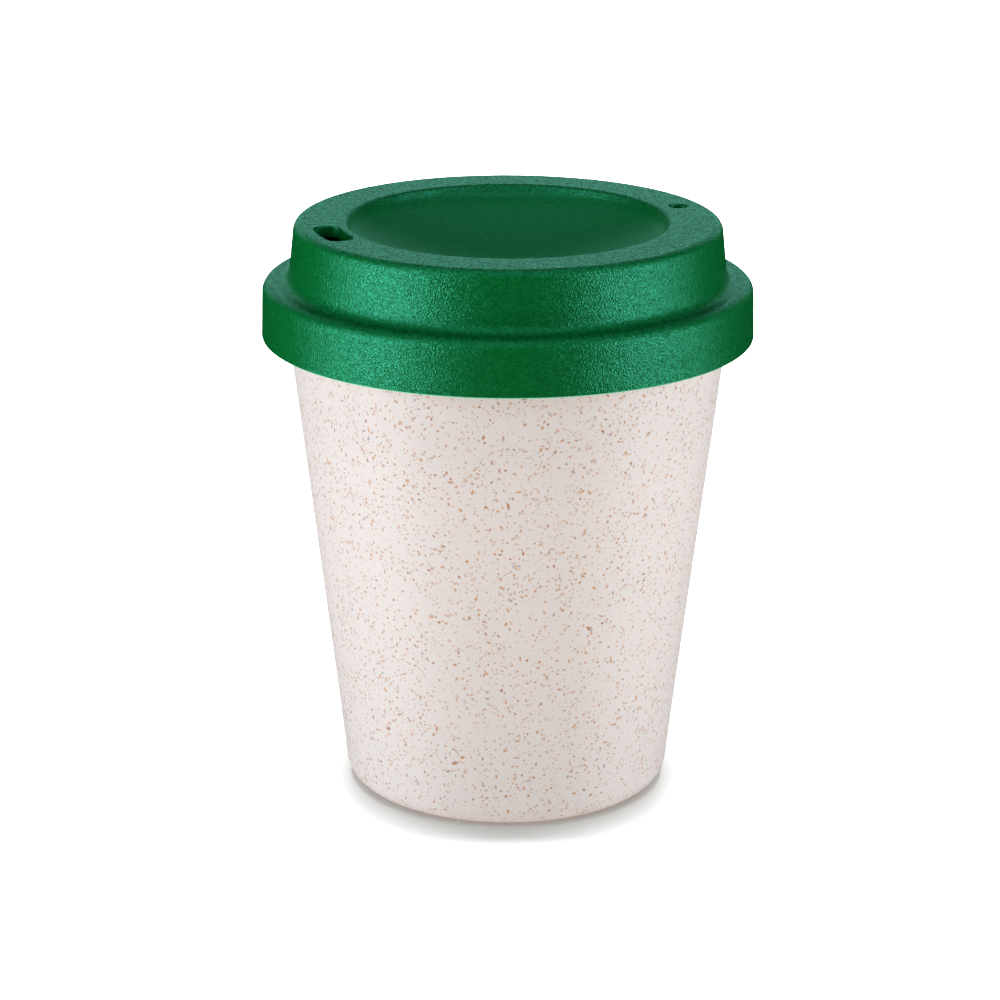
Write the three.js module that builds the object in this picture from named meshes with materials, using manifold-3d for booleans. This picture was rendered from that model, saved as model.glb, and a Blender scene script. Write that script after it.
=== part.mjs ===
// Reusable drinking cup moulded from rice husk fibre, with a push-on two-tier sip lid.
// Millimetres, +Z up. The origin is the middle of the foot, on the table.
// The sip hole faces -X and the vent faces +X.

import * as THREE from 'three';
import { mergeVertices } from 'three/addons/utils/BufferGeometryUtils.js';
import Module from 'manifold-3d';

// Cup: one thin wall that widens from a rounded foot to a beaded lip.
const CUP_HEIGHT = 93.7; // table to the top of the lip
const FOOT_RADIUS = 29.7; // outside of the wall, carried down to the table
const RIM_RADIUS = 41.0; // outside of the wall, carried up to the lip
const CUP_WALL = 2.0;
const CUP_FLOOR = 3.0;
const FOOT_EDGE_RADIUS = 3.0;
const FOOT_RING_WIDTH = 6.5; // ring that the cup stands on
const FOOT_RECESS = 1.2; // hollow under the floor, inside that ring
const RECESS_EDGE_RADIUS = 0.6;
const FLOOR_CORNER_RADIUS = 6.0; // inside, where the wall meets the floor
const BEAD_PROUD = 1.45; // lip bead, outside the wall
const BEAD_HEIGHT = 3.2;
const BEAD_SLOPE = 1.0; // height of the slope under the bead
const LIP_RADIUS = 0.9;

// Lid: a skirt over the lip, a ledge, and an upper tier with a dished top.
const SEAT_GAP = 0.3; // lip to the underside of the ledge
const SKIRT_CLEARANCE = 0.3; // lip bead to the inside of the skirt
const LID_WALL = 2.0; // skirt and ledge
const SKIRT_HEIGHT = 10.2; // ledge down to the skirt's lower edge
const SKIRT_FLARE = 0.25; // draft of the skirt
const SKIRT_EDGE_RADIUS = 0.4;
const LEDGE_WIDTH = 4.75; // skirt's outside to the foot of the upper tier
const LEDGE_EDGE_RADIUS = 1.9;
const TIER_HEIGHT = 10.9; // ledge to the top
const TIER_LEAN = 1.1; // draft of the upper tier
const TIER_FOOT_RADIUS = 2.0; // hollow fillet between the ledge and the tier
const TOP_EDGE_RADIUS = 1.6;
const LAND_WIDTH = 9.4; // flat ring that the lips rest on
const LAND_WALL = 2.0;
const DISH_EDGE_RADIUS = 0.8;
const DISH_RIM_DROP = 2.4; // steep wall at the dish's edge
const DISH_LEAN = 1.4; // how far that wall leans in
const DISH_DEPTH = 8.5; // land down to the middle of the dish
const DISH_WALL = 1.4;
const DISH_FLOOR = 1.8;
const DISH_CORNER_RADIUS = 4.0; // where that wall runs into the bowl
const UNDER_CORNER_RADIUS = 1.0; // below it, in the drinking channel

// Plug: a ring wall under the lid that reaches into the cup and carries the seal.
const PLUG_DEPTH = 8.0;
const PLUG_WALL = 1.7;
const PLUG_CLEARANCE = 0.4; // to the cup's inside, at the plug's lower edge
const PLUG_EDGE_RADIUS = 0.4;

// Seal: a silicone ring in a groove round the plug, relaxed and clear of the cup's wall.
const SEAL_HEIGHT = 2.4;
const SEAL_RISE = 2.6; // plug's lower edge to the groove
const SEAL_CUP_GAP = 0.3;
const SEAL_SEAT_GAP = 0.15; // ring to the groove, on three sides
const SEAL_EDGE_RADIUS = 0.4;
const GROOVE_DEPTH = 0.9;

// Openings in the land: a drinking slot that follows the rim, and a round vent.
const SIP_LENGTH = 11.7; // along the middle of the drinking channel
const SIP_CORNER_RADIUS = 2.0;
const SIP_MARGIN = 0.1; // slot's sides to the walls of the channel
const VENT_DIAMETER = 3.4;

// Fineness of the round faces.
const TURN_STEPS = 64;
const FILLET_STEP = Math.PI / 6;
const BOWL_STEPS = 5;
const SLOT_ARC_STEPS = 3;
const VENT_STEPS = 20;

const wasm = await Module();
wasm.setup();

// Heights and radii of the lid, from the cup that it fits.
const cupOuterRadius = (z) => THREE.MathUtils.mapLinear(z, 0, CUP_HEIGHT, FOOT_RADIUS, RIM_RADIUS);
const cupInnerRadius = (z) => cupOuterRadius(z) - CUP_WALL;
const beadRadius = RIM_RADIUS + BEAD_PROUD;
const ledgeUnder = CUP_HEIGHT + SEAT_GAP;
const ledgeTop = ledgeUnder + LID_WALL;
const lidTop = ledgeTop + TIER_HEIGHT;
const skirtInside = beadRadius + SKIRT_CLEARANCE;
const skirtOutside = skirtInside + LID_WALL;
const tierFootRadius = skirtOutside - LEDGE_WIDTH;
const tierTopRadius = tierFootRadius - TIER_LEAN;
const dishRadius = tierTopRadius - LAND_WIDTH;
const plugBottom = ledgeUnder - PLUG_DEPTH;
const plugOutside = cupInnerRadius(plugBottom) - PLUG_CLEARANCE;
const channelOuter = plugOutside - PLUG_WALL;
const channelInner = dishRadius + DISH_WALL;
const channelMiddle = (channelInner + channelOuter) / 2;
const sealBottom = plugBottom + SEAL_RISE + SEAL_SEAT_GAP;
const sealTop = sealBottom + SEAL_HEIGHT;
const grooveRadius = plugOutside - GROOVE_DEPTH;

// One corner of an outline in the half plane of radius and height, with its fillet.
const corner = (r, z, fillet = 0) => ({ at: new THREE.Vector2(r, z), fillet });

// Points of an outline whose corners are rounded by tangent arcs. A fillet that is too
// large for the walls beside it is cut down to half of the shorter one.
function roundedOutline(corners, closed = false) {
  const points = [];
  corners.forEach(({ at, fillet }, i) => {
    const before = corners.at(i - 1).at;
    const after = corners[(i + 1) % corners.length].at;
    const isEnd = !closed && (i === 0 || i === corners.length - 1);
    if (isEnd || fillet === 0) {
      points.push(at);
      return;
    }
    const toBefore = before.clone().sub(at);
    const toAfter = after.clone().sub(at);
    const shorter = Math.min(toBefore.length(), toAfter.length());
    toBefore.normalize();
    toAfter.normalize();
    const half = Math.acos(toBefore.dot(toAfter)) / 2;
    const reach = Math.min(fillet / Math.tan(half), shorter / 2);
    const radius = reach * Math.tan(half);
    const middle = toBefore.clone().add(toAfter).normalize();
    const centre = at.clone().addScaledVector(middle, radius / Math.sin(half));
    const start = at.clone().addScaledVector(toBefore, reach).sub(centre);
    const end = at.clone().addScaledVector(toAfter, reach).sub(centre);
    const sweep = Math.atan2(start.cross(end), start.dot(end));
    const steps = Math.ceil(Math.abs(sweep) / FILLET_STEP);
    for (let k = 0; k <= steps; k += 1) {
      points.push(start.clone().rotateAround(new THREE.Vector2(), (sweep * k) / steps).add(centre));
    }
  });
  return closed ? [...points, points[0]] : points;
}

// Corners along a shallow bowl, a parabola from the axis out to its edge.
function bowl(edgeRadius, edgeZ, middleZ) {
  const corners = [];
  for (let k = 0; k <= BOWL_STEPS; k += 1) {
    const share = k / BOWL_STEPS;
    corners.push(corner(edgeRadius * share, THREE.MathUtils.lerp(middleZ, edgeZ, share ** 2)));
  }
  return corners;
}

// A solid turned about +Z from an outline that runs outwards below and inwards above.
function turned(outline) {
  return new THREE.LatheGeometry(outline, TURN_STEPS).rotateX(Math.PI / 2);
}

function toSolid(geometry) {
  const bare = geometry.clone();
  bare.deleteAttribute('normal');
  bare.deleteAttribute('uv');
  const merged = mergeVertices(bare);
  const vertProperties = new Float32Array(merged.attributes.position.array);
  const triVerts = new Uint32Array(merged.index.array);
  return new wasm.Manifold(new wasm.Mesh({ numProp: 3, vertProperties, triVerts }));
}

function toGeometry(solid) {
  const { vertProperties, triVerts } = solid.getMesh();
  const geometry = new THREE.BufferGeometry();
  geometry.setAttribute('position', new THREE.BufferAttribute(vertProperties, 3));
  geometry.setIndex(new THREE.BufferAttribute(triVerts, 1));
  geometry.computeVertexNormals();
  return geometry;
}

function piece(name, geometry, color, roughness) {
  const material = new THREE.MeshStandardMaterial({ color, roughness, metalness: 0 });
  const mesh = new THREE.Mesh(geometry, material);
  mesh.name = name;
  return mesh;
}

// The cup, from the middle of its underside round the lip to the middle of its floor.
function makeCup() {
  const recessRadius = FOOT_RADIUS - FOOT_RING_WIDTH;
  const beadBottom = CUP_HEIGHT - BEAD_HEIGHT;
  const slopeBottom = beadBottom - BEAD_SLOPE;
  const floorTop = FOOT_RECESS + CUP_FLOOR;
  return turned(roundedOutline([
    corner(0, FOOT_RECESS),
    corner(recessRadius, FOOT_RECESS, RECESS_EDGE_RADIUS),
    corner(recessRadius, 0, RECESS_EDGE_RADIUS),
    corner(FOOT_RADIUS, 0, FOOT_EDGE_RADIUS),
    corner(cupOuterRadius(slopeBottom), slopeBottom),
    corner(beadRadius, beadBottom),
    corner(beadRadius, CUP_HEIGHT, LIP_RADIUS),
    corner(cupInnerRadius(CUP_HEIGHT), CUP_HEIGHT, LIP_RADIUS),
    corner(cupInnerRadius(floorTop), floorTop, FLOOR_CORNER_RADIUS),
    corner(0, floorTop),
  ]));
}

// The lid's body, from the middle of its underside round the skirt to the middle of the dish.
function makeLidBody() {
  const skirtBottom = ledgeTop - SKIRT_HEIGHT;
  const bowlRadius = dishRadius - DISH_LEAN;
  const bowlEdge = lidTop - DISH_RIM_DROP;
  const bowlMiddle = lidTop - DISH_DEPTH;
  const landUnder = lidTop - LAND_WALL;
  const grooveBottom = sealBottom - SEAL_SEAT_GAP;
  const grooveTop = sealTop + SEAL_SEAT_GAP;
  const bowlUnder = bowl(bowlRadius, bowlEdge - DISH_FLOOR, bowlMiddle - DISH_FLOOR);
  const bowlAbove = bowl(bowlRadius, bowlEdge, bowlMiddle).reverse();
  bowlAbove[0].fillet = DISH_CORNER_RADIUS;
  return turned(roundedOutline([
    ...bowlUnder,
    corner(channelInner, bowlEdge - DISH_FLOOR, UNDER_CORNER_RADIUS),
    corner(channelInner, landUnder),
    corner(channelOuter, landUnder),
    corner(channelOuter, plugBottom, PLUG_EDGE_RADIUS),
    corner(plugOutside, plugBottom, PLUG_EDGE_RADIUS),
    corner(plugOutside, grooveBottom),
    corner(grooveRadius, grooveBottom),
    corner(grooveRadius, grooveTop),
    corner(plugOutside, grooveTop),
    corner(plugOutside, ledgeUnder),
    corner(skirtInside, ledgeUnder),
    corner(skirtInside + SKIRT_FLARE, skirtBottom, SKIRT_EDGE_RADIUS),
    corner(skirtOutside + SKIRT_FLARE, skirtBottom, SKIRT_EDGE_RADIUS),
    corner(skirtOutside, ledgeTop, LEDGE_EDGE_RADIUS),
    corner(tierFootRadius, ledgeTop, TIER_FOOT_RADIUS),
    corner(tierTopRadius, lidTop, TOP_EDGE_RADIUS),
    corner(dishRadius, lidTop, DISH_EDGE_RADIUS),
    ...bowlAbove,
  ]));
}

// Drinking slot: a sector of the channel towards -X with round corners, cut through the land.
function makeSipCutter() {
  const inner = channelInner + SIP_MARGIN;
  const outer = channelOuter - SIP_MARGIN;
  const round = Math.min(SIP_CORNER_RADIUS, (outer - inner) / 2 - SIP_MARGIN);
  const half = SIP_LENGTH / channelMiddle / 2;
  const outerHalf = half - Math.asin(round / (outer - round));
  const innerHalf = half - Math.asin(round / (inner + round));
  const left = Math.PI;
  const quarter = Math.PI / 2;
  const shape = new THREE.Shape();
  const roundCorner = (radius, angle, from, to) => {
    shape.absarc(radius * Math.cos(angle), radius * Math.sin(angle), round, from, to, false);
  };
  shape.absarc(0, 0, outer, left - outerHalf, left + outerHalf, false);
  roundCorner(outer - round, left + outerHalf, left + outerHalf, left + half + quarter);
  roundCorner(inner + round, left + innerHalf, left + half + quarter, 2 * left + innerHalf);
  shape.absarc(0, 0, inner, left + innerHalf, left - innerHalf, true);
  roundCorner(inner + round, left - innerHalf, -innerHalf, quarter - half);
  roundCorner(outer - round, left - outerHalf, quarter - half, left - outerHalf);
  const depth = 2 * LAND_WALL;
  const cutter = new THREE.ExtrudeGeometry(shape, {
    depth,
    bevelEnabled: false,
    curveSegments: SLOT_ARC_STEPS,
  });
  return cutter.translate(0, 0, lidTop - LAND_WALL / 2 - depth / 2);
}

// Vent: a round hole in the land on the far side from the drinking slot.
function makeVentCutter() {
  const depth = 2 * LAND_WALL;
  const radius = VENT_DIAMETER / 2;
  const cutter = new THREE.CylinderGeometry(radius, radius, depth, VENT_STEPS).rotateX(Math.PI / 2);
  return cutter.translate(channelMiddle, 0, lidTop - LAND_WALL / 2);
}

function makeLid() {
  const slotted = toSolid(makeLidBody()).subtract(toSolid(makeSipCutter()));
  return toGeometry(slotted.subtract(toSolid(makeVentCutter())));
}

// The seal ring, whose outer face leans as the cup's wall does.
function makeSealRing() {
  const inside = grooveRadius + SEAL_SEAT_GAP;
  return turned(roundedOutline([
    corner(inside, sealBottom),
    corner(cupInnerRadius(sealBottom) - SEAL_CUP_GAP, sealBottom, SEAL_EDGE_RADIUS),
    corner(cupInnerRadius(sealTop) - SEAL_CUP_GAP, sealTop, SEAL_EDGE_RADIUS),
    corner(inside, sealTop),
  ], true));
}

const cup = new THREE.Group();
cup.add(piece('cup_body', makeCup(), 0xd9cfcb, 0.5));
cup.add(piece('lid', makeLid(), 0x0b6a43, 0.42));
cup.add(piece('lid_seal_ring', makeSealRing(), 0xe6e3dc, 0.6));

export default cup;
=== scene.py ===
# %% [markdown]
# A rice husk cup with a green push-on lid
#
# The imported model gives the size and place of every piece: a cup, a lid and a seal ring.
# This lesson models each piece again with finer faces, gives it its real finish, and
# lights it as a small product on a white table. Nothing is moved or resized.

# %% Load the frame
import math

import bmesh
import bpy
from mathutils import Matrix, Vector


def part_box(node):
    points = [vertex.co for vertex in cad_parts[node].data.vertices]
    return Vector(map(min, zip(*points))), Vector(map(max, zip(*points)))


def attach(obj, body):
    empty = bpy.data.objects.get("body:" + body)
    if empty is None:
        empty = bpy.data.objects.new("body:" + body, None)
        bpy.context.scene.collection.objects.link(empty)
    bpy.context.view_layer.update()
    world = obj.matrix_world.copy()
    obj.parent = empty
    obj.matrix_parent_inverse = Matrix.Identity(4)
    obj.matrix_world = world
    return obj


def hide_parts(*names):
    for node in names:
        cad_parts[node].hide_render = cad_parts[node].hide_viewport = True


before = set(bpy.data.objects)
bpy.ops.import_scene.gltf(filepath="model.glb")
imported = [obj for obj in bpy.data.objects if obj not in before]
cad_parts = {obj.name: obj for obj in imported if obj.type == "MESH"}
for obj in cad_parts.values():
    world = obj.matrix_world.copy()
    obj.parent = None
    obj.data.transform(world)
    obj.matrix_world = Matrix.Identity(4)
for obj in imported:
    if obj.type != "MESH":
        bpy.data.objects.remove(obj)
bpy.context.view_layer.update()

MM = 0.001

# %% [markdown]
# The camera comes first, because it decides which details matter. The photograph looks
# down on the cup from a little over half a metre away with a long lens. The cup is a
# turned form, so only the sip hole tells how far the camera stands round it: the hole
# lies on -X and shows 20 degrees nearer to the camera than the left side.

# %% Camera
PHOTO_TURN = math.radians(-20.0)
CAMERA_RISE = math.radians(17.65)
CAMERA_DISTANCE = 650 * MM
CAMERA_ROLL = 0.003
AIM = Vector((-1.33, 0.0, 53.47)) * MM
LENS_MM = 125.74
SENSOR_MM = 36.0

to_part = Matrix.Rotation(PHOTO_TURN, 4, "Z")
away = Vector((0.0, -math.cos(CAMERA_RISE), math.sin(CAMERA_RISE)))
bpy.ops.object.select_all(action="DESELECT")
bpy.ops.object.camera_add()
camera = bpy.context.object
camera.name = "photo_camera"
camera.data.lens = LENS_MM
camera.data.sensor_width = SENSOR_MM
camera.matrix_world = (
    to_part
    @ Matrix.Translation(AIM + away * CAMERA_DISTANCE)
    @ Matrix.Rotation(math.pi / 2 - CAMERA_RISE, 4, "X")
    @ Matrix.Rotation(CAMERA_ROLL, 4, "Z")
)
bpy.context.scene.camera = camera
print("camera at", [round(c, 3) for c in camera.matrix_world.translation])

# %% [markdown]
# All three pieces are turned forms, as if made on a lathe. One way is to extrude a circle
# upwards ring by ring. Drawing half of the section and spinning it is closer to the
# drawing of a real cup: each corner has a radius, a height and a rounding, and the rounding
# is a vertex bevel on the drawn line, so the finished edge is a true arc.

# %% Draw a section and spin it
SPIN_STEPS = 192
ROUNDING_STEPS = 8
SMOOTH_BELOW = math.radians(40.0)


def start_with_a_point(name, place):
    """A new mesh of one vertex, left in edit mode: a small plane merged at its centre."""
    bpy.ops.object.select_all(action="DESELECT")
    bpy.ops.mesh.primitive_plane_add(size=MM, location=place)
    bpy.ops.object.transform_apply(location=True, rotation=True, scale=True)
    piece = bpy.context.object
    piece.name = name
    piece.data.name = name
    bpy.ops.object.mode_set(mode="EDIT")
    bpy.ops.mesh.select_mode(type="VERT")
    bpy.ops.mesh.select_all(action="SELECT")
    bpy.ops.mesh.merge(type="CENTER")
    return piece


def select_points(piece, places):
    """Select the vertices that lie at the given places."""
    bpy.ops.mesh.select_all(action="DESELECT")
    shape = bmesh.from_edit_mesh(piece.data)
    for vertex in shape.verts:
        vertex.select_set(any((vertex.co - place).length < 0.01 * MM for place in places))
    shape.select_flush_mode()
    bmesh.update_edit_mesh(piece.data)


def bevel_reach(before, here, after, radius):
    """How far along its two walls a rounding of this radius starts."""
    half_angle = (before - here).angle(after - here) / 2
    return radius / math.tan(half_angle)


def turned_piece(name, corners, closed=False):
    """Spin a section, given as (radius, height, rounding) in millimetres, about +Z."""
    places = [Vector((r, 0.0, z)) * MM for r, z, _ in corners]
    piece = start_with_a_point(name, places[0])
    for here, there in zip(places, places[1:]):
        bpy.ops.mesh.extrude_vertices_move(TRANSFORM_OT_translate={"value": there - here})
    if closed:
        select_points(piece, [places[0], places[-1]])
        bpy.ops.mesh.edge_face_add()
    for i, (_, _, rounding) in enumerate(corners):
        if rounding:
            reach = bevel_reach(places[i - 1], places[i], places[(i + 1) % len(places)], rounding * MM)
            select_points(piece, [places[i]])
            bpy.ops.mesh.bevel(offset=reach, segments=ROUNDING_STEPS, profile=0.5, affect="VERTICES")
    bpy.ops.mesh.select_all(action="SELECT")
    bpy.ops.mesh.spin(steps=SPIN_STEPS, angle=2 * math.pi, center=(0, 0, 0), axis=(0, 0, 1))
    bpy.ops.mesh.select_all(action="SELECT")
    bpy.ops.mesh.remove_doubles(threshold=0.002 * MM)
    bpy.ops.mesh.normals_make_consistent(inside=False)
    bpy.ops.object.mode_set(mode="OBJECT")
    bpy.ops.object.shade_smooth_by_angle(angle=SMOOTH_BELOW)
    print(name, "has", len(piece.data.polygons), "faces")
    return piece


# %% [markdown]
# The cup is one moulding with a thin wall that leans out by about seven degrees. Its foot is
# rounded outside and hollowed underneath, so that it stands on a ring, and its lip has a
# bead that stiffens it and hides inside the lid. Heights and the bead come from the frame.

# %% Cup
cup_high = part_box("cup_body")[1]
RIM = cup_high.z / MM
BEAD = cup_high.x / MM
FOOT = 29.7
WALL_AT_RIM = 41.0
WALL = 2.0
FOOT_HOLLOW_RADIUS = 23.2
FOOT_HOLLOW = 1.2
FLOOR = 4.2
BEAD_HEIGHT = 3.2
BEAD_SLOPE = 1.0
FOOT_ROUNDING = 4.0
HOLLOW_ROUNDING = 0.6
SLOPE_ROUNDING = 0.8
BEAD_ROUNDING = 0.6
LIP_ROUNDING = 0.9
FLOOR_ROUNDING = 6.0


def wall_radius(height):
    """Outside of the cup's wall at a height, in millimetres."""
    return FOOT + (WALL_AT_RIM - FOOT) * height / RIM


bead_bottom = RIM - BEAD_HEIGHT
slope_bottom = bead_bottom - BEAD_SLOPE
cup = turned_piece("rice_husk_cup", [
    (0.0, FOOT_HOLLOW, 0),
    (FOOT_HOLLOW_RADIUS, FOOT_HOLLOW, HOLLOW_ROUNDING),
    (FOOT_HOLLOW_RADIUS, 0.0, HOLLOW_ROUNDING),
    (FOOT, 0.0, FOOT_ROUNDING),
    (wall_radius(slope_bottom), slope_bottom, SLOPE_ROUNDING),
    (BEAD, bead_bottom, BEAD_ROUNDING),
    (BEAD, RIM, LIP_ROUNDING),
    (wall_radius(RIM) - WALL, RIM, LIP_ROUNDING),
    (wall_radius(FLOOR) - WALL, FLOOR, FLOOR_ROUNDING),
    (0.0, FLOOR, 0),
])

# %% [markdown]
# The lid is one moulding too. From outside it is a skirt, a ledge and an upper tier with a
# sunken dish, and every edge is soft. Underneath, a plug wall reaches into the cup and
# carries the seal. The dish is a steep edge and then a shallow bowl, drawn as a parabola.

# %% Lid
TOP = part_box("lid")[1].z / MM
TIER_HEIGHT = 10.9
LEDGE_WALL = 2.0
PLUG_DEPTH = 8.0
SKIRT_HEIGHT = 10.2
LEDGE = TOP - TIER_HEIGHT
LEDGE_UNDER = LEDGE - LEDGE_WALL
PLUG_BOTTOM = LEDGE_UNDER - PLUG_DEPTH
SKIRT_BOTTOM = LEDGE - SKIRT_HEIGHT
SKIRT_TOP_RADIUS = 44.75
SKIRT_FLARE = 0.25
SKIRT_OUTSIDE = SKIRT_TOP_RADIUS + SKIRT_FLARE
SKIRT_WALL = 2.0
TIER_FOOT = 40.0
TIER_TOP = 38.9
LAND_WALL = 2.0
LAND_UNDER = TOP - LAND_WALL
DISH = 29.5
DISH_LEAN = 1.4
DISH_EDGE_DROP = 2.4
DISH_DROP = 8.5
DISH_EDGE = TOP - DISH_EDGE_DROP
DISH_MIDDLE = TOP - DISH_DROP
DISH_FLOOR = 1.8
CHANNEL_INNER = 30.9
CHANNEL_OUTER = 35.97
PLUG = 37.67
GROOVE = 36.77
BOWL_STEPS = 18
CHANNEL_EDGE_ROUNDING = 0.8
CHANNEL_INNER_ROUNDING = 0.3
CHANNEL_OUTER_ROUNDING = 0.6
SKIRT_ROUNDING = 0.4
PLUG_ROUNDING = 0.5
GROOVE_ROUNDING = 0.1
LEDGE_ROUNDING = 1.9
TIER_FOOT_ROUNDING = 2.0
TOP_ROUNDING = 1.6
DISH_EDGE_ROUNDING = 0.8
DISH_CORNER_ROUNDING = 4.0

ring_low, ring_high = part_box("lid_seal_ring")
GROOVE_GAP = 0.15
groove_bottom = ring_low.z / MM - GROOVE_GAP
groove_top = ring_high.z / MM + GROOVE_GAP


def bowl(drop):
    """Corners of the dish from its middle to its edge, lowered by drop."""
    corners = []
    for step in range(BOWL_STEPS + 1):
        share = step / BOWL_STEPS
        height = DISH_MIDDLE + (DISH_EDGE - DISH_MIDDLE) * share ** 2 - drop
        corners.append(((DISH - DISH_LEAN) * share, height, 0))
    return corners


dish_top = bowl(0.0)[::-1]
dish_top[0] = (*dish_top[0][:2], DISH_CORNER_ROUNDING)
lid = turned_piece("green_lid", [
    *bowl(DISH_FLOOR),
    (CHANNEL_INNER, DISH_EDGE - DISH_FLOOR, CHANNEL_EDGE_ROUNDING),
    (CHANNEL_INNER, LAND_UNDER, CHANNEL_INNER_ROUNDING),
    (CHANNEL_OUTER, LAND_UNDER, CHANNEL_OUTER_ROUNDING),
    (CHANNEL_OUTER, PLUG_BOTTOM, PLUG_ROUNDING),
    (PLUG, PLUG_BOTTOM, PLUG_ROUNDING),
    (PLUG, groove_bottom, GROOVE_ROUNDING),
    (GROOVE, groove_bottom, 0),
    (GROOVE, groove_top, 0),
    (PLUG, groove_top, GROOVE_ROUNDING),
    (PLUG, LEDGE_UNDER, SKIRT_ROUNDING),
    (SKIRT_TOP_RADIUS - SKIRT_WALL, LEDGE_UNDER, SKIRT_ROUNDING),
    (SKIRT_OUTSIDE - SKIRT_WALL, SKIRT_BOTTOM, SKIRT_ROUNDING),
    (SKIRT_OUTSIDE, SKIRT_BOTTOM, SKIRT_ROUNDING),
    (SKIRT_TOP_RADIUS, LEDGE, LEDGE_ROUNDING),
    (TIER_FOOT, LEDGE, TIER_FOOT_ROUNDING),
    (TIER_TOP, TOP, TOP_ROUNDING),
    (DISH, TOP, DISH_EDGE_ROUNDING),
    *dish_top,
])

# %% [markdown]
# The sip hole and the vent are cut through the flat land round the dish. A bevel on the
# edges that a boolean leaves is fragile, so the cutters carry the rounding instead: near
# their top they flare like a trumpet, and the hole that they leave has a soft lip.

# %% Sip hole and vent
SIP_HALF_LENGTH = 5.85
SIP_MIDDLE = 33.43
SIP_HALF_ANGLE = SIP_HALF_LENGTH / SIP_MIDDLE
SIP_CORNER = 2.0
SIP_INNER = 31.0
SIP_OUTER = 35.87
VENT_RADIUS = 1.7
VENT_STEPS = 48
HOLE_LIP = 0.3
LIP_STEPS = 7
LIP_TURN = math.radians(82.0)
SIP_STEPS = 5
CUT_START = LAND_UNDER - 1.0


def cut_through_land(face, centre, half_size):
    """Raise a flat outline into a cutter that flares at the land's edge, and cut the lid."""
    bpy.ops.mesh.select_mode(type="FACE")
    bpy.ops.mesh.select_all(action="SELECT")
    straight = TOP - HOLE_LIP - CUT_START
    bpy.ops.mesh.extrude_region_move(TRANSFORM_OT_translate={"value": (0, 0, straight * MM)})
    grown, height = 0.0, 0.0
    for step in range(1, LIP_STEPS + 1):
        turn = LIP_TURN * step / LIP_STEPS
        outward = HOLE_LIP * (1 - math.cos(turn))
        upward = HOLE_LIP * math.sin(turn) / math.sin(LIP_TURN) * 1.01
        scale = [(half + outward) / (half + grown) for half in half_size]
        rise = (0, 0, (upward - height) * MM)
        bpy.ops.mesh.extrude_region_move(TRANSFORM_OT_translate={"value": rise})
        bpy.ops.transform.resize(value=(*scale, 1.0), center_override=centre)
        grown, height = outward, upward
    bpy.ops.mesh.extrude_region_move(TRANSFORM_OT_translate={"value": (0, 0, MM)})
    bpy.ops.mesh.select_all(action="SELECT")
    bpy.ops.mesh.normals_make_consistent(inside=False)
    bpy.ops.object.mode_set(mode="OBJECT")
    bpy.ops.object.select_all(action="DESELECT")
    bpy.context.view_layer.objects.active = lid
    lid.select_set(True)
    cut = lid.modifiers.new("cut", "BOOLEAN")
    cut.operation = "DIFFERENCE"
    cut.solver = "EXACT"
    cut.object = face
    bpy.ops.object.modifier_apply(modifier=cut.name)
    bpy.data.objects.remove(face)


middle = (SIP_INNER + SIP_OUTER) / 2
ends = [math.pi + SIP_HALF_ANGLE, math.pi - SIP_HALF_ANGLE]
sip_corners = [
    Vector((radius * math.cos(angle), radius * math.sin(angle), CUT_START)) * MM
    for angle in ends
    for radius in (SIP_INNER, SIP_OUTER)
]
slot = start_with_a_point("sip_cutter", sip_corners[0])
bpy.ops.mesh.extrude_vertices_move(TRANSFORM_OT_translate={"value": sip_corners[1] - sip_corners[0]})
bpy.ops.mesh.select_all(action="SELECT")
bpy.ops.mesh.spin(steps=SIP_STEPS, angle=2 * SIP_HALF_ANGLE, center=(0, 0, 0), axis=(0, 0, 1))
bpy.ops.mesh.select_all(action="SELECT")
bpy.ops.mesh.dissolve_faces()
select_points(slot, sip_corners)
bpy.ops.mesh.bevel(offset=SIP_CORNER * MM, segments=ROUNDING_STEPS, profile=0.5, affect="VERTICES")
half_length = middle * math.sin(SIP_HALF_ANGLE)
cut_through_land(slot, Vector((-middle, 0, TOP)) * MM, ((SIP_OUTER - SIP_INNER) / 2, half_length))

bpy.ops.object.select_all(action="DESELECT")
vent_place = Vector((middle, 0, CUT_START)) * MM
bpy.ops.mesh.primitive_circle_add(
    vertices=VENT_STEPS, radius=VENT_RADIUS * MM, fill_type="NGON", location=vent_place,
)
bpy.ops.object.transform_apply(location=True, rotation=True, scale=True)
vent = bpy.context.object
bpy.ops.object.mode_set(mode="EDIT")
cut_through_land(vent, Vector((middle, 0, TOP)) * MM, (VENT_RADIUS, VENT_RADIUS))
print("lid with its holes has", len(lid.data.polygons), "faces")

# %% [markdown]
# The cut leaves large flat faces beside very small ones. Shading that averages them would
# smear round the holes, so the normals are weighted by area: big flat faces stay flat.

# %% Clean shading
for piece in (cup, lid):
    bpy.ops.object.select_all(action="DESELECT")
    bpy.context.view_layer.objects.active = piece
    piece.select_set(True)
    bpy.ops.object.shade_smooth_by_angle(angle=SMOOTH_BELOW)
    even = piece.modifiers.new("even", "WEIGHTED_NORMAL")
    even.keep_sharp = True
    bpy.ops.object.modifier_apply(modifier=even.name)
    print(piece.name, "is shaded with area-weighted normals")

# %% [markdown]
# The seal is a soft silicone ring that sits in the plug's groove. It shows only when the lid
# is off. Its outer face leans as the cup's wall does, and a closed section spins into a ring.

# %% Seal ring
SEAL_INSIDE = 36.92
SEAL_CUP_GAP = 0.3
SEAL_INNER_ROUNDING = 0.1
SEAL_OUTER_ROUNDING = 0.4


def seal_radius(height):
    """Outside of the relaxed ring, just clear of the cup's inner wall."""
    return wall_radius(height) - WALL - SEAL_CUP_GAP


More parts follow.
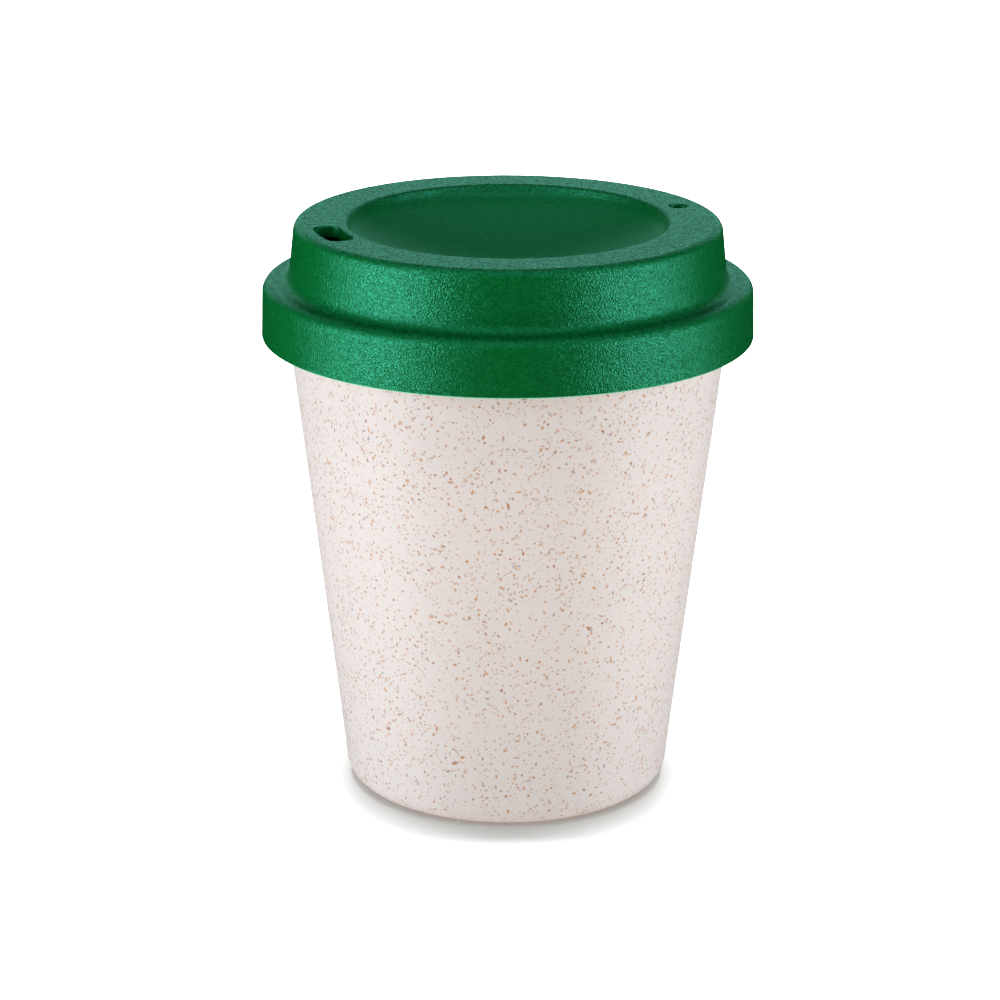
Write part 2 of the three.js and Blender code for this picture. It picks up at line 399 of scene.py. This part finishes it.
seal_bottom, seal_top = ring_low.z / MM, ring_high.z / MM
seal = turned_piece("silicone_seal", [
    (SEAL_INSIDE, seal_bottom, SEAL_INNER_ROUNDING),
    (seal_radius(seal_bottom), seal_bottom, SEAL_OUTER_ROUNDING),
    (seal_radius(seal_top), seal_top, SEAL_OUTER_ROUNDING),
    (SEAL_INSIDE, seal_top, SEAL_INNER_ROUNDING),
], closed=True)

# %% [markdown]
# Each piece stands for its solid and rides on that solid's body, so it moves with the joints.

# %% Join the pieces to the frame
for piece, body, node, slot_name in (
    (cup, "cup", "cup_body", "cup_composite"),
    (lid, "lid", "lid", "lid_plastic"),
    (seal, "seal", "lid_seal_ring", "seal_silicone"),
):
    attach(piece, body)
    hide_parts(node)
    print(piece.name, "rides on", body)

# %% [markdown]
# Materials are node trees. Two small helpers keep them readable: one turns a hex colour into
# the linear values that Blender mixes, and one adds a node with its settings and links.

# %% Helpers for materials


def colour(hex_code):
    """Linear RGBA of an sRGB hex colour."""
    values = [int(hex_code[i:i + 2], 16) / 255 for i in (1, 3, 5)]
    linear = [v / 12.92 if v <= 0.04045 else ((v + 0.055) / 1.055) ** 2.4 for v in values]
    return (*linear, 1.0)


def add(tree, kind, inputs=(), **settings):
    """Add a node, set its properties, and give its inputs values or links."""
    node = tree.nodes.new(kind)
    for name, value in settings.items():
        setattr(node, name, value)
    for name, value in dict(inputs).items():
        if isinstance(value, bpy.types.NodeSocket):
            tree.links.new(value, node.inputs[name])
        else:
            node.inputs[name].default_value = value
    return node


def new_material(name):
    """An empty node material with its tree and its output."""
    material = bpy.data.materials.new(name)
    material.use_nodes = True
    material.node_tree.nodes.clear()
    output = add(material.node_tree, "ShaderNodeOutputMaterial")
    return material, material.node_tree, output


# %% [markdown]
# The cup is a composite of ground rice husk in a pale binder. Under its smooth skin lie flakes
# of husk: straw, tan, brown and grey chips and slivers up to two millimetres long, at random
# angles, some near the surface and clear, others deeper and faint. A Voronoi texture gives
# each flake a place; the way from that place, turned by a random angle and squeezed, gives an
# ellipsoid, and the cup's surface cuts through it as it does through a real flake.

# %% Rice husk composite
PALE = "#E5DBD6"
PALE_COOL = "#E1DBD8"
# Sizes in millimetres: of the clouds, of the flakes' ragged edges and of the skin's ripple.
CLOUD = 6.0
RAGGED = 0.5
RAGGED_EDGE = 0.35
RIPPLE = 1.5
RIPPLE_DEPTH = 0.004
HUSK = ["#CA9260", "#B27A4C", "#B9958E", "#9795A2", "#8A5A3C", "#D09A48", "#3E3030"]
HUSK_FROM = (0.0, 0.34, 0.55, 0.74, 0.84, 0.92, 0.97)
# Spacing, length and width in millimetres, share of places that hold a flake, and a shift
# in metres that keeps the three sizes from lying on top of one another.
FLAKES = (
    (0.6, 0.5, 0.26, 0.45, 0.0),
    (0.95, 0.95, 0.42, 0.72, 0.031),
    (2.3, 1.5, 0.54, 0.48, 0.057),
)


def husk_flakes(tree, place, spacing, length, width, share, shift):
    """One size of flake, in millimetres: its mask, and a colour of random numbers."""
    moved = add(tree, "ShaderNodeVectorMath", {0: place, 1: (shift, shift, shift)}, operation="ADD")
    cells = add(tree, "ShaderNodeTexVoronoi", {"Vector": moved.outputs[0], "Scale": 1 / (spacing * MM)})
    away = add(tree, "ShaderNodeVectorMath",
               {0: moved.outputs[0], 1: cells.outputs["Position"]}, operation="SUBTRACT")
    angles = add(tree, "ShaderNodeVectorMath",
                 {0: cells.outputs["Color"], "Scale": 2 * math.pi}, operation="SCALE")
    turned = add(tree, "ShaderNodeVectorRotate",
                 {"Vector": away.outputs[0], "Rotation": angles.outputs[0]}, rotation_type="EULER_XYZ")
    squeeze = tuple(2 / (size * MM) for size in (length, width, width * 1.4))
    squeezed = add(tree, "ShaderNodeVectorMath", {0: turned.outputs[0], 1: squeeze}, operation="MULTIPLY")
    reach = add(tree, "ShaderNodeVectorMath", {0: squeezed.outputs[0]}, operation="LENGTH")
    inside = add(tree, "ShaderNodeMapRange",
                 {"Value": reach.outputs["Value"], "From Min": 1.0, "From Max": 0.72})
    luck = add(tree, "ShaderNodeTexWhiteNoise", {"Vector": cells.outputs["Position"]})
    shown = add(tree, "ShaderNodeMath", {0: luck.outputs["Value"], 1: share}, operation="LESS_THAN")
    mask = add(tree, "ShaderNodeMath", {0: inside.outputs[0], 1: shown.outputs[0]}, operation="MULTIPLY")
    return mask.outputs[0], luck.outputs["Color"]


def rice_husk_composite():
    """Pale satin binder with husk flakes of three sizes under the skin."""
    material, tree, output = new_material("rice_husk_composite")
    coords = add(tree, "ShaderNodeTexCoord").outputs["Object"]
    ragged = add(tree, "ShaderNodeTexNoise", {
        "Vector": coords, "Scale": 1 / (RAGGED * MM), "Detail": 2.0,
    })
    centred = add(tree, "ShaderNodeVectorMath",
                  {0: ragged.outputs["Color"], 1: (0.5, 0.5, 0.5)}, operation="SUBTRACT")
    place = add(tree, "ShaderNodeVectorMath", {
        0: centred.outputs[0], 1: (RAGGED_EDGE * MM,) * 3, 2: coords,
    }, operation="MULTIPLY_ADD").outputs[0]
    cloud = add(tree, "ShaderNodeTexNoise", {"Vector": coords, "Scale": 1 / (CLOUD * MM), "Detail": 3.0})
    tint = add(tree, "ShaderNodeMix", {
        "Factor": cloud.outputs["Fac"], "A": colour(PALE), "B": colour(PALE_COOL),
    }, data_type="RGBA").outputs["Result"]
    for spacing, length, width, share, shift in FLAKES:
        crowd = add(tree, "ShaderNodeMapRange", {
            "Value": cloud.outputs["Fac"], "From Min": 0.35, "From Max": 0.65,
            "To Min": 0.6 * share, "To Max": 1.35 * share,
        })
        mask, chance = husk_flakes(tree, place, spacing, length, width, crowd.outputs[0], shift)
        numbers = add(tree, "ShaderNodeSeparateColor", {"Color": chance})
        husk = add(tree, "ShaderNodeValToRGB", {"Fac": numbers.outputs["Red"]})
        husk.color_ramp.interpolation = "CONSTANT"
        stops = husk.color_ramp.elements
        while len(stops) < len(HUSK):
            stops.new(1.0)
        for stop, code, at in zip(stops, HUSK, HUSK_FROM):
            stop.position = at
            stop.color = colour(code)
        depth = add(tree, "ShaderNodeMapRange",
                    {"Value": numbers.outputs["Green"], "To Min": 0.3, "To Max": 0.95})
        cover = add(tree, "ShaderNodeMath", {0: mask, 1: depth.outputs[0]}, operation="MULTIPLY")
        tint = add(tree, "ShaderNodeMix",
                   {"Factor": cover.outputs[0], "A": tint, "B": husk.outputs["Color"]},
                   data_type="RGBA").outputs["Result"]
    ripple = add(tree, "ShaderNodeTexNoise", {
        "Vector": coords, "Scale": 1 / (RIPPLE * MM), "Detail": 3.0,
    })
    gloss = add(tree, "ShaderNodeMapRange", {
        "Value": ripple.outputs["Fac"], "To Min": 0.42, "To Max": 0.54,
    })
    bump = add(tree, "ShaderNodeBump", {
        "Height": ripple.outputs["Fac"], "Distance": RIPPLE_DEPTH * MM,
    })
    shader = add(tree, "ShaderNodeBsdfPrincipled", {
        "Base Color": tint, "Roughness": gloss.outputs[0], "Normal": bump.outputs[0], "IOR": 1.48,
    })
    tree.links.new(shader.outputs[0], output.inputs["Surface"])
    return material


cup.data.materials.append(rice_husk_composite())
print("cup wears", cup.data.materials[0].name)

# %% [markdown]
# The lid is dark green polypropylene. Its mould was spark eroded, which leaves small craters
# with coarser pebbles between them: the plastic looks satin, and where a lamp is mirrored the
# grain breaks the highlight into sparkle. Bump alone looks too smooth in a small picture, so a
# chance number also makes each crater a little glossier than the next and paints it a little
# paler, as a painted glint. The flat land and ledge are seen at a low angle; on them the grain's
# light and shade is painted as a speckle of darker pits and paler tips. The dish is smoother.
# The pigment tints the sheen, so the highlights stay green. A painted highlight makes the
# skirt's lower edge a paler line.

# %% Spark-eroded polypropylene
# The real grain is about a tenth of a millimetre. It is drawn coarser, so that it shows.
GREEN = "#003D18"
# A paler green painted on some craters as glints.
PAINTED_GLINT_GREEN = "#005023"
GRAIN = 0.25
GRAIN_DEPTH = 0.065
# Painted shade in the pits and painted glints on the tips of the flat faces' grain.
PAINTED_PIT_SHADE = "#003417"
PAINTED_TIP_GLINT = "#044B27"
SPECKLE = 0.46
DISH_GRAIN_DEPTH = 0.012
DISH_FADE = 1.2
FLAT_END, FLAT_FULL = 0.6, 0.1
PEBBLE = 0.42
PEBBLE_SHARE = 1.6
SHEEN = "#B8FFF4"
# A painted highlight: the paler green of the skirt's lower edge.
PAINTED_EDGE_HIGHLIGHT = "#8FD0B4"
EDGE_HEIGHT, EDGE_FULL_HEIGHT = 0.32, 0.08
EDGE_DEPTH, EDGE_FULL_DEPTH = 0.45, 0.25


def spark_eroded_polypropylene():
    """Satin green plastic: eroded grain outside, and a smoother dish."""
    material, tree, output = new_material("spark_eroded_polypropylene")
    coords = add(tree, "ShaderNodeTexCoord").outputs["Object"]
    flat = add(tree, "ShaderNodeVectorMath", {0: coords, 1: (1, 1, 0)}, operation="MULTIPLY")
    radius = add(tree, "ShaderNodeVectorMath", {0: flat.outputs[0]}, operation="LENGTH")
    outside = add(tree, "ShaderNodeMapRange", {
        "Value": radius.outputs["Value"], "From Min": (DISH - DISH_FADE) * MM, "From Max": DISH * MM,
    }).outputs[0]
    craters = add(tree, "ShaderNodeTexVoronoi", {"Vector": coords, "Scale": 1 / (GRAIN * MM)})
    rise = add(tree, "ShaderNodeSeparateXYZ", {"Vector": coords}).outputs["Z"]
    upward = 0.0
    for level in (TOP, LEDGE):
        near = add(tree, "ShaderNodeMath", {0: rise, 1: level * MM}, operation="SUBTRACT")
        off = add(tree, "ShaderNodeMath", {0: near.outputs[0]}, operation="ABSOLUTE")
        close = add(tree, "ShaderNodeMapRange", {
            "Value": off.outputs[0], "From Min": FLAT_END * MM, "From Max": FLAT_FULL * MM,
        })
        both = add(tree, "ShaderNodeMath", {0: upward, 1: close.outputs[0]}, operation="MAXIMUM")
        upward = both.outputs[0]
    flat_face = add(tree, "ShaderNodeMath", {0: upward, 1: outside}, operation="MULTIPLY")
    eroded = add(tree, "ShaderNodeMapRange", {
        "Value": outside, "To Min": DISH_GRAIN_DEPTH * MM, "To Max": GRAIN_DEPTH * MM,
    })
    pebbles = add(tree, "ShaderNodeTexNoise", {
        "Vector": coords, "Scale": 1 / (PEBBLE * MM), "Detail": 2.0, "Roughness": 0.6,
    })
    height = add(tree, "ShaderNodeMath", {
        0: pebbles.outputs["Fac"], 1: PEBBLE_SHARE, 2: craters.outputs["Distance"],
    }, operation="MULTIPLY_ADD")
    bump = add(tree, "ShaderNodeBump", {"Height": height.outputs[0], "Distance": eroded.outputs[0]})
    chance = add(tree, "ShaderNodeSeparateColor", {"Color": craters.outputs["Color"]})
    # Painted glints: a chance number paints some craters the paler green.
    even = add(tree, "ShaderNodeMix", {
        "Factor": chance.outputs["Red"], "A": colour(GREEN), "B": colour(PAINTED_GLINT_GREEN),
    }, data_type="RGBA")
    # On the flat faces the grain's light and shade is painted: darker pits, paler tips.
    speckle = add(tree, "ShaderNodeTexNoise", {
        "Vector": coords, "Scale": 1 / (SPECKLE * MM), "Detail": 1.0,
    })
    speckle_mask = add(tree, "ShaderNodeMapRange", {
        "Value": speckle.outputs["Fac"], "From Min": 0.4, "From Max": 0.6,
    })
    painted_speckle = add(tree, "ShaderNodeMix", {
        "Factor": speckle_mask.outputs[0], "A": colour(PAINTED_PIT_SHADE), "B": colour(PAINTED_TIP_GLINT),
    }, data_type="RGBA")
    tint = add(tree, "ShaderNodeMix", {
        "Factor": flat_face.outputs[0], "A": even.outputs["Result"], "B": painted_speckle.outputs["Result"],
    }, data_type="RGBA")
    # A painted highlight: a paler band along the skirt's lower edge.
    low = add(tree, "ShaderNodeMapRange", {
        "Value": rise,
        "From Min": (SKIRT_BOTTOM + EDGE_HEIGHT) * MM,
        "From Max": (SKIRT_BOTTOM + EDGE_FULL_HEIGHT) * MM,
    })
    outer = add(tree, "ShaderNodeMapRange", {
        "Value": radius.outputs["Value"],
        "From Min": (SKIRT_OUTSIDE - EDGE_DEPTH) * MM,
        "From Max": (SKIRT_OUTSIDE - EDGE_FULL_DEPTH) * MM,
    })
    edge = add(tree, "ShaderNodeMath", {0: low.outputs[0], 1: outer.outputs[0]}, operation="MULTIPLY")
    tint = add(tree, "ShaderNodeMix", {
        "Factor": edge.outputs[0], "A": tint.outputs["Result"], "B": colour(PAINTED_EDGE_HIGHLIGHT),
    }, data_type="RGBA")
    # From the dish to the outside, the plastic gets glossier and its craters less alike.
    gloss = add(tree, "ShaderNodeMapRange", {"Value": outside, "To Min": 0.4, "To Max": 0.26})
    least = add(tree, "ShaderNodeMapRange", {"Value": outside, "To Min": 0.45, "To Max": 0.2})
    most = add(tree, "ShaderNodeMapRange", {"Value": outside, "To Min": 0.55, "To Max": 0.8})
    sparkle = add(tree, "ShaderNodeMapRange", {
        "Value": chance.outputs["Red"], "To Min": least.outputs[0], "To Max": most.outputs[0],
    })
    glint = add(tree, "ShaderNodeMapRange", {"Value": speckle_mask.outputs[0], "To Min": 0.06, "To Max": 0.94})
    shine = add(tree, "ShaderNodeMix", {
        "Factor": flat_face.outputs[0], "A": sparkle.outputs[0], "B": glint.outputs[0],
    })
    shader = add(tree, "ShaderNodeBsdfPrincipled", {
        "Base Color": tint.outputs["Result"], "Roughness": gloss.outputs[0], "Normal": bump.outputs[0],
        "IOR": 1.52, "Specular IOR Level": shine.outputs["Result"], "Specular Tint": colour(SHEEN),
    })
    tree.links.new(shader.outputs[0], output.inputs["Surface"])
    return material


lid.data.materials.append(spark_eroded_polypropylene())
print("lid wears", lid.data.materials[0].name)

# %% [markdown]
# Silicone is soft, matt and a little milky. A faint cloudiness and a dry roughness are enough
# for a ring that shows only when the lid is lifted.

# %% Silicone
MILKY = "#E4E1D9"
MILKY_DARK = "#D5D1C7"


def moulded_silicone():
    """Matt off-white rubber."""
    material, tree, output = new_material("moulded_silicone")
    coords = add(tree, "ShaderNodeTexCoord").outputs["Object"]
    cloud = add(tree, "ShaderNodeTexNoise", {"Vector": coords, "Scale": 1 / (2 * MM), "Detail": 3.0})
    tint = add(tree, "ShaderNodeMix", {
        "Factor": cloud.outputs["Fac"], "A": colour(MILKY), "B": colour(MILKY_DARK),
    }, data_type="RGBA")
    dry = add(tree, "ShaderNodeMapRange", {"Value": cloud.outputs["Fac"], "To Min": 0.55, "To Max": 0.7})
    bump = add(tree, "ShaderNodeBump", {"Height": cloud.outputs["Fac"], "Distance": 0.01 * MM})
    shader = add(tree, "ShaderNodeBsdfPrincipled", {
        "Base Color": tint.outputs["Result"], "Roughness": dry.outputs[0], "Normal": bump.outputs[0],
        "IOR": 1.41,
    })
    tree.links.new(shader.outputs[0], output.inputs["Surface"])
    return material


seal.data.materials.append(moulded_silicone())
print("seal wears", seal.data.materials[0].name)

# %% [markdown]
# The cup stands on a plain pale table. One lamp for everything would make either the table
# grey or the cup too bright, so the table has lamps of its own, and the light that it throws
# back on the cup is set by itself: warm, and weaker close to the foot, where the cup stands in
# its own light. Seen from below the table is clear, so that the foot can be looked at.

# %% Table
# The width is in metres, the shaded radius in millimetres.
TABLE_WIDTH = 12.0
TABLE_GREY = "#CFCFCF"
WARM = "#FFF2E9"
BOUNCE = 1.22
SHADED_BOUNCE = 0.82
SHADED_RADIUS = 160.0

bpy.ops.object.select_all(action="DESELECT")
bpy.ops.mesh.primitive_plane_add(size=TABLE_WIDTH)
table = bpy.context.object
table.name = "white_table"
table.visible_glossy = False
table.visible_shadow = False
table_finish, tree, output = new_material("white_table")
lit_table = add(tree, "ShaderNodeBsdfDiffuse", {"Color": colour(TABLE_GREY)})
from_middle = add(tree, "ShaderNodeVectorMath",
                  {0: add(tree, "ShaderNodeTexCoord").outputs["Object"]}, operation="LENGTH")
bounce = add(tree, "ShaderNodeMapRange", {
    "Value": from_middle.outputs["Value"], "From Min": FOOT * MM, "From Max": SHADED_RADIUS * MM,
    "To Min": SHADED_BOUNCE, "To Max": BOUNCE,
})
glow = add(tree, "ShaderNodeEmission", {"Color": colour(WARM), "Strength": bounce.outputs[0]})
bounced = add(tree, "ShaderNodeLightPath").outputs["Is Diffuse Ray"]
above = add(tree, "ShaderNodeMixShader", {0: bounced, 1: lit_table.outputs[0], 2: glow.outputs[0]})
from_below = add(tree, "ShaderNodeNewGeometry").outputs["Backfacing"]
clear = add(tree, "ShaderNodeBsdfTransparent")
both = add(tree, "ShaderNodeMixShader", {0: from_below, 1: above.outputs[0], 2: clear.outputs[0]})
tree.links.new(both.outputs[0], output.inputs["Surface"])
table_finish.cycles.emission_sampling = "NONE"
table.data.materials.append(table_finish)
print("table is", TABLE_WIDTH, "m wide")

# %% [markdown]
# Tall soft boxes stand left and right of the cup, a little towards the camera. On the lid they
# draw two broad upright highlights, and on the cup a pale band at each side. Light linking
# gives lid, cup and table lamps of their own, so each can be set without spoiling the others.
# The lid's lamps are mint, because its highlights are a clear green and not white. Cards
# behind the lid are mirrored in its flat ring, and a strip in front draws its upper edge. A
# box above lights the cup's mouth once the lid is off, and one behind lights the cup's back.

# %% Lamps
MINT = "#8CFFE4"
PALE_MINT = "#98FFE6"
COOL = "#E8F2FF"


def soft_box(name, turn, rise, distance, size, power, lit, tint="#FFFFFF"):
    """A soft box facing the lid: turn and rise in degrees from the camera, metres and watts."""
    bpy.ops.object.light_add(type="AREA")
    lamp = bpy.context.object
    lamp.name = name
    lamp.data.shape = "RECTANGLE"
    lamp.data.size, lamp.data.size_y = size
    lamp.data.energy = power
    lamp.data.color = colour(tint)[:3]
    lamp.visible_camera = False
    lamp.matrix_world = (
        to_part
        @ Matrix.Translation((0, 0, LEDGE * MM))
        @ Matrix.Rotation(math.radians(-turn), 4, "Z")
        @ Matrix.Rotation(math.radians(90 - rise), 4, "X")
        @ Matrix.Translation((0, 0, distance))
    )
    receivers = bpy.data.collections.new("lit_by_" + name)
    for piece in lit:
        receivers.objects.link(piece)
    lamp.light_linking.receiver_collection = receivers
    print(name, "lights", [piece.name for piece in lit], "with", power, "W")


soft_box("left_lid_strip", 66, 3, 0.9, (0.42, 1.0), 17.0, [lid], MINT)
soft_box("right_lid_strip", -72, 3, 0.9, (0.42, 1.0), 12.5, [lid], MINT)
soft_box("lid_top_box", 180, 80, 0.9, (1.5, 1.5), 2.0, [lid], MINT)
soft_box("lid_edge_strip", 0, 62, 0.9, (1.5, 0.35), 2.8, [lid], MINT)
soft_box("lid_back_card", 180, 10, 1.2, (1.1, 0.5), 1.6, [lid], PALE_MINT)
soft_box("lid_high_card", 180, 52, 1.2, (1.2, 0.9), 0.6, [lid], MINT)
soft_box("left_cup_box", 68, 1, 0.9, (0.3, 0.9), 6.5, [cup, seal], COOL)
soft_box("right_cup_box", -74, 3, 0.9, (0.3, 0.9), 5.6, [cup, seal], COOL)
soft_box("cup_mouth_box", 0, 90, 1.1, (1.2, 1.2), 22.0, [cup, seal], WARM)
soft_box("cup_back_box", 180, 4, 1.0, (0.5, 0.9), 2.2, [cup, seal], COOL)
soft_box("table_lamp", 180, 88.6, 1.6, (0.75, 0.55), 188.0, [table])
soft_box("table_ceiling", 0, 90, 1.6, (4.0, 4.0), 80.0, [table])

# %% [markdown]
# A dim mint sky fills the shadows. It is a little brighter overhead, as a studio ceiling is,
# and almost dark below the horizon. The camera itself sees plain white behind the cup.

# %% Sky
HORIZON, ZENITH, BELOW = 0.07, 0.08, 0.02
SKY_STEPS = ((0.475, BELOW), (0.5, HORIZON), (0.62, HORIZON), (0.7, ZENITH))

world = bpy.data.worlds.new("white_studio")
world.use_nodes = True
world.node_tree.nodes.clear()
sky = world.node_tree
way = add(sky, "ShaderNodeTexCoord").outputs["Generated"]
rise = add(sky, "ShaderNodeSeparateXYZ", {"Vector": way}).outputs["Z"]
level = add(sky, "ShaderNodeMapRange", {"Value": rise, "From Min": -1.0}).outputs[0]
glow = add(sky, "ShaderNodeValToRGB", {"Fac": level})
stops = glow.color_ramp.elements
while len(stops) < len(SKY_STEPS):
    stops.new(1.0)
for stop, (at, value) in zip(stops, SKY_STEPS):
    stop.position = at
    stop.color = tuple(value * part for part in colour(MINT)[:3]) + (1.0,)
seen = add(sky, "ShaderNodeLightPath").outputs["Is Camera Ray"]
soft = add(sky, "ShaderNodeBackground", {"Color": glow.outputs["Color"]})
white = add(sky, "ShaderNodeBackground", {"Color": colour("#FFFFFF")})
both = add(sky, "ShaderNodeMixShader", {0: seen, 1: soft.outputs[0], 2: white.outputs[0]})
add(sky, "ShaderNodeOutputWorld", {"Surface": both.outputs[0]})
bpy.context.scene.world = world
bpy.context.scene.view_settings.view_transform = "Standard"
print("sky is in place")
